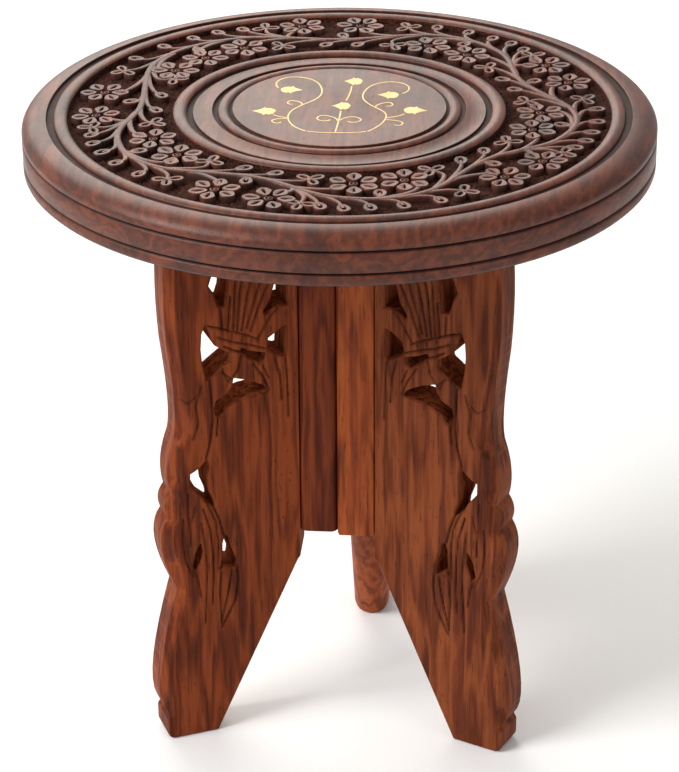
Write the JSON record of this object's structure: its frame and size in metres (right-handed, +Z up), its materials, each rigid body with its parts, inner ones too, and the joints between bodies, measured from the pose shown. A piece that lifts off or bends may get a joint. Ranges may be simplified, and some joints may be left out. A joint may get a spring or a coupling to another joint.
{
  "type": "folding side table",
  "caption": "Low round side table with a carved lift-off top, brass vine inlay and three scrolled, pierced board legs that fold flat on hinges.",
  "frame": {"origin": "on the floor, under the middle of the round top", "axes": "+Z up, -Y towards the front, where the two side legs open; the fixed back leg points along +Y"},
  "size_m": [0.305, 0.305, 0.33],
  "materials": {
    "top_rosewood": "waxed, semi-gloss",
    "leg_rosewood": "waxed, satin",
    "inlay_brass": "rubbed level with the wood",
    "hinge_brass": "plain",
    "screw_steel": "plain"
  },
  "bodies": {
    "hub": {"back_leg": "leg_rosewood", "hinge_post": "leg_rosewood", "post_screws": "screw_steel", "left_upper_hinge_post_leaf": "hinge_brass", "left_upper_hinge_pin": "hinge_brass", "left_upper_hinge_post_screws": "screw_steel", "left_lower_hinge_post_leaf": "hinge_brass", "left_lower_hinge_pin": "hinge_brass", "left_lower_hinge_post_screws": "screw_steel", "right_upper_hinge_post_leaf": "hinge_brass", "right_upper_hinge_pin": "hinge_brass", "right_upper_hinge_post_screws": "screw_steel", "right_lower_hinge_post_leaf": "hinge_brass", "right_lower_hinge_pin": "hinge_brass", "right_lower_hinge_post_screws": "screw_steel"},
    "tabletop": {"tabletop": "top_rosewood", "inlay_leaf_crown": "inlay_brass", "inlay_leaf_heart": "inlay_brass", "inlay_leaf_left_scroll": "inlay_brass", "inlay_leaf_left_low": "inlay_brass", "inlay_leaf_right_scroll": "inlay_brass", "inlay_leaf_right_low": "inlay_brass", "inlay_vine_centre": "inlay_brass", "inlay_vine_left": "inlay_brass", "inlay_vine_right": "inlay_brass", "front_block": "leg_rosewood", "front_block_screws": "screw_steel", "rear_block": "leg_rosewood", "rear_block_screws": "screw_steel"},
    "left_leg": {"left_leg": "leg_rosewood", "left_upper_hinge_leg_leaf": "hinge_brass", "left_upper_hinge_leg_screws": "screw_steel", "left_lower_hinge_leg_leaf": "hinge_brass", "left_lower_hinge_leg_screws": "screw_steel"},
    "right_leg": {"right_leg": "leg_rosewood", "right_upper_hinge_leg_leaf": "hinge_brass", "right_upper_hinge_leg_screws": "screw_steel", "right_lower_hinge_leg_leaf": "hinge_brass", "right_lower_hinge_leg_screws": "screw_steel"}
  },
  "joints": [
    {"name": "left_leg_fold", "type": "hinge", "parent": "hub", "child": "left_leg", "pos_m": [-0.0218, -0.00325, 0.2], "axis": [0, 0, 1], "range_deg": [-115, 0]},
    {"name": "right_leg_fold", "type": "hinge", "parent": "hub", "child": "right_leg", "pos_m": [0.0218, -0.00325, 0.2], "axis": [0, 0, 1], "range_deg": [0, 115]},
    {"name": "top_lift", "type": "slide", "parent": "hub", "child": "tabletop", "axis": [0, 0, 1], "range_m": [0, 0.06]}
  ]
}
